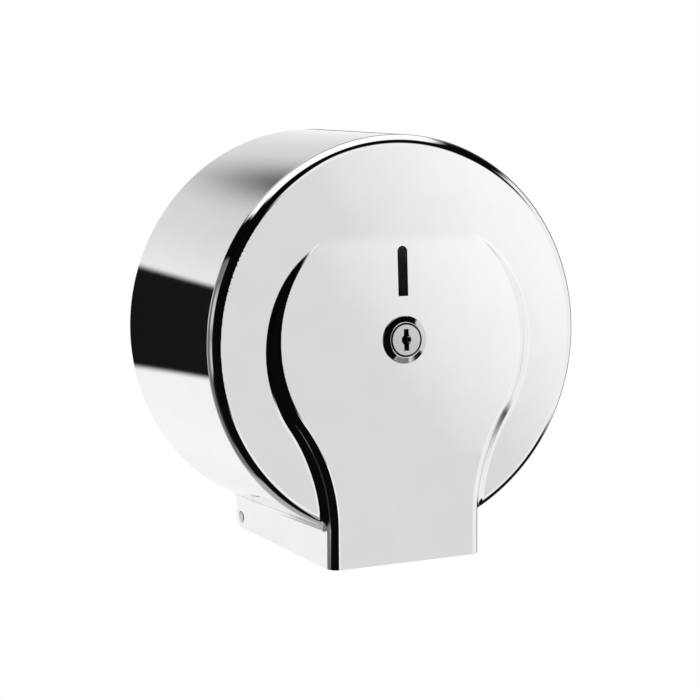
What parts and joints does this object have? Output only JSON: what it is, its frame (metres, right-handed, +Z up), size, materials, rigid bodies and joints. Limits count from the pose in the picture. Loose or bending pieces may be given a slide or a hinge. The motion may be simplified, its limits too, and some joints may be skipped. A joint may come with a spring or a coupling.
{
  "type": "jumbo toilet roll dispenser",
  "caption": "Round wall-hung dispenser in polished steel: drum cover with a raised keyhole-shaped panel and a foot, hinged below, cam lock at the centre, turning hub inside.",
  "frame": {"origin": "on the wall plane, at the drum's axis and the middle of the fixing holes", "axes": "+Y into the wall, +Z up, +X to the right as one faces the front, which looks along -Y"},
  "size_m": [0.23, 0.1275, 0.237],
  "materials": {
    "polished_steel": "mirror-polished stainless sheet",
    "plain_steel": "cold-rolled stainless sheet, satin",
    "plated_steel": "bright zinc-plated",
    "lock_nickel": "nickel-plated die casting",
    "wafer_brass": "stamped brass",
    "hub_plastic": "moulded ABS, fine texture",
    "nylon": "moulded nylon"
  },
  "bodies": {
    "wall_frame": {"back_plate": "plain_steel", "hinge_pins": "plated_steel", "hinge_washers": "nylon", "spindle_base": "plain_steel", "base_rivets": "plated_steel", "axle": "plated_steel", "thrust_washer": "nylon", "front_washer": "plated_steel", "axle_clip": "plated_steel", "keeper": "plain_steel", "keeper_screw": "plated_steel"},
    "hub": {"hub_sleeve": "hub_plastic", "hub_disc": "hub_plastic", "rear_bush": "nylon", "front_bush": "nylon"},
    "cover": {"cover_band": "polished_steel", "cover_front": "polished_steel", "lock_housing": "lock_nickel", "lock_washer": "plated_steel", "lock_nut": "plated_steel"},
    "lock_core": {"lock_plug": "lock_nickel", "lock_wafers": "wafer_brass", "stop_disc": "plated_steel", "lock_cam": "plain_steel", "cam_washer": "plated_steel", "cam_screw": "plated_steel"}
  },
  "joints": [
    {"name": "cover_hinge", "type": "hinge", "parent": "wall_frame", "child": "cover", "pos_m": [0, -0.007, -0.1155], "axis": [1, 0, 0], "range_deg": [0, 90]},
    {"name": "hub_turn", "type": "hinge", "parent": "wall_frame", "child": "hub", "pos_m": [0, 0, 0], "axis": [0, 1, 0], "continuous": true},
    {"name": "lock_turn", "type": "hinge", "parent": "cover", "child": "lock_core", "pos_m": [0, -0.12449, 0], "axis": [0, 0.999, -0.0456], "range_deg": [0, 90]}
  ]
}
